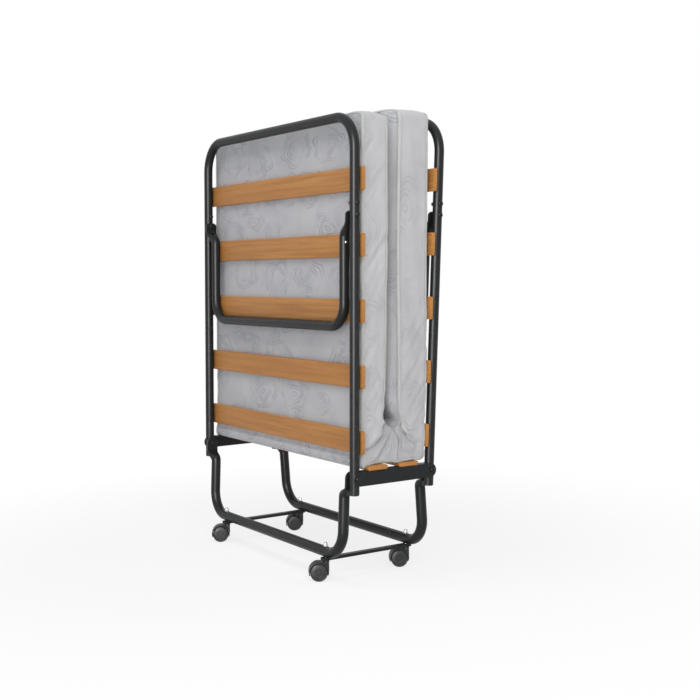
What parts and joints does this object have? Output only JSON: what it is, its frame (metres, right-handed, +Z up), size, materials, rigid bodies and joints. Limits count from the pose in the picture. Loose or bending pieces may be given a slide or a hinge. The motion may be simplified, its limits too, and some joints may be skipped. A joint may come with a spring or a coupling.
{
  "type": "folding cot",
  "caption": "Folding guest bed on casters, standing folded: two tube frames with wooden slats and end legs hinge on a wheeled centre section, with the mattress folded between.",
  "frame": {"origin": "on the floor, under the middle of the folded bed's box", "axes": "+X across the bed's width, +Y from the front half frame to the rear half frame, +Z up"},
  "size_m": [0.8182, 0.3406, 1.1488],
  "materials": {
    "frame_paint": "charcoal gloss powder paint on steel",
    "beech": "satin lacquered beech plywood",
    "zinc": "bright zinc plate",
    "caster_plastic": "black moulded nylon",
    "ticking": "pale blue-grey woven ticking with a faint pattern"
  },
  "bodies": {
    "centre": {"side_link_right": "frame_paint", "side_link_left": "frame_paint", "hinge_bolt_front_right": "frame_paint", "hinge_bolt_front_left": "frame_paint", "hinge_bolt_rear_right": "frame_paint", "hinge_bolt_rear_left": "frame_paint", "centre_leg_front": "frame_paint", "centre_leg_rear": "frame_paint", "centre_slat_front": "beech", "centre_slat_rear": "beech", "tie_strip_right": "frame_paint", "tie_strip_left": "frame_paint", "mattress_fold": "ticking", "caster_stem_front_right": "zinc", "caster_stem_rear_right": "zinc", "caster_stem_front_left": "zinc", "caster_stem_rear_left": "zinc"},
    "front_frame": {"front_frame_tube": "frame_paint", "front_slat_1": "beech", "front_slat_2": "beech", "front_slat_3": "beech", "front_slat_4": "beech", "front_slat_5": "beech", "front_end_leg_bolt_right": "frame_paint", "front_end_leg_bolt_left": "frame_paint", "front_end_leg_stop_right": "frame_paint", "front_end_leg_stop_left": "frame_paint", "mattress_front": "ticking"},
    "rear_frame": {"rear_frame_tube": "frame_paint", "rear_slat_1": "beech", "rear_slat_2": "beech", "rear_slat_3": "beech", "rear_slat_4": "beech", "rear_slat_5": "beech", "rear_end_leg_bolt_right": "frame_paint", "rear_end_leg_bolt_left": "frame_paint", "rear_end_leg_stop_right": "frame_paint", "rear_end_leg_stop_left": "frame_paint", "mattress_rear": "ticking"},
    "front_leg": {"front_end_leg": "frame_paint"},
    "rear_leg": {"rear_end_leg": "frame_paint"},
    "caster_front_right": {"caster_body_front_right": "caster_plastic"},
    "caster_rear_right": {"caster_body_rear_right": "caster_plastic"},
    "caster_front_left": {"caster_body_front_left": "caster_plastic"},
    "caster_rear_left": {"caster_body_rear_left": "caster_plastic"},
    "wheels_front_right": {"caster_wheel_inner_front_right": "caster_plastic", "caster_wheel_outer_front_right": "caster_plastic", "caster_axle_front_right": "zinc"},
    "wheels_rear_right": {"caster_wheel_inner_rear_right": "caster_plastic", "caster_wheel_outer_rear_right": "caster_plastic", "caster_axle_rear_right": "zinc"},
    "wheels_front_left": {"caster_wheel_inner_front_left": "caster_plastic", "caster_wheel_outer_front_left": "caster_plastic", "caster_axle_front_left": "zinc"},
    "wheels_rear_left": {"caster_wheel_inner_rear_left": "caster_plastic", "caster_wheel_outer_rear_left": "caster_plastic", "caster_axle_rear_left": "zinc"}
  },
  "joints": [
    {"name": "front_frame_fold", "type": "hinge", "parent": "centre", "child": "front_frame", "pos_m": [0, -0.11248, 0.2691], "axis": [1, 0, 0], "range_deg": [0, 91.35]},
    {"name": "rear_frame_fold", "type": "hinge", "parent": "centre", "child": "rear_frame", "pos_m": [0, 0.10752, 0.2691], "axis": [-1, 0, 0], "range_deg": [0, 86.63]},
    {"name": "front_leg_swing", "type": "hinge", "parent": "front_frame", "child": "front_leg", "pos_m": [0, -0.0977, 0.89593], "axis": [-1, 0, 0], "range_deg": [0, 106]},
    {"name": "rear_leg_swing", "type": "hinge", "parent": "rear_frame", "child": "rear_leg", "pos_m": [0, 0.14438, 0.89502], "axis": [1, 0, 0], "range_deg": [0, 106]},
    {"name": "caster_swivel_front_right", "type": "hinge", "parent": "centre", "child": "caster_front_right", "pos_m": [0.269, -0.12348, 0.04], "axis": [0, 0, 1], "continuous": true},
    {"name": "caster_swivel_rear_right", "type": "hinge", "parent": "centre", "child": "caster_rear_right", "pos_m": [0.269, 0.11853, 0.04], "axis": [0, 0, 1], "continuous": true},
    {"name": "caster_swivel_front_left", "type": "hinge", "parent": "centre", "child": "caster_front_left", "pos_m": [-0.269, -0.12348, 0.04], "axis": [0, 0, 1], "continuous": true},
    {"name": "caster_swivel_rear_left", "type": "hinge", "parent": "centre", "child": "caster_rear_left", "pos_m": [-0.269, 0.11853, 0.04], "axis": [0, 0, 1], "continuous": true},
    {"name": "wheel_spin_front_right", "type": "hinge", "parent": "caster_front_right", "child": "wheels_front_right", "pos_m": [0.26008, -0.14025, 0.022], "axis": [0.8829, -0.4695, 0], "continuous": true},
    {"name": "wheel_spin_rear_right", "type": "hinge", "parent": "caster_rear_right", "child": "wheels_rear_right", "pos_m": [0.26008, 0.10175, 0.022], "axis": [0.8829, -0.4695, 0], "continuous": true},
    {"name": "wheel_spin_front_left", "type": "hinge", "parent": "caster_front_left", "child": "wheels_front_left", "pos_m": [-0.27792, -0.14025, 0.022], "axis": [0.8829, -0.4695, 0], "continuous": true},
    {"name": "wheel_spin_rear_left", "type": "hinge", "parent": "caster_rear_left", "child": "wheels_rear_left", "pos_m": [-0.27792, 0.10175, 0.022], "axis": [0.8829, -0.4695, 0], "continuous": true}
  ]
}
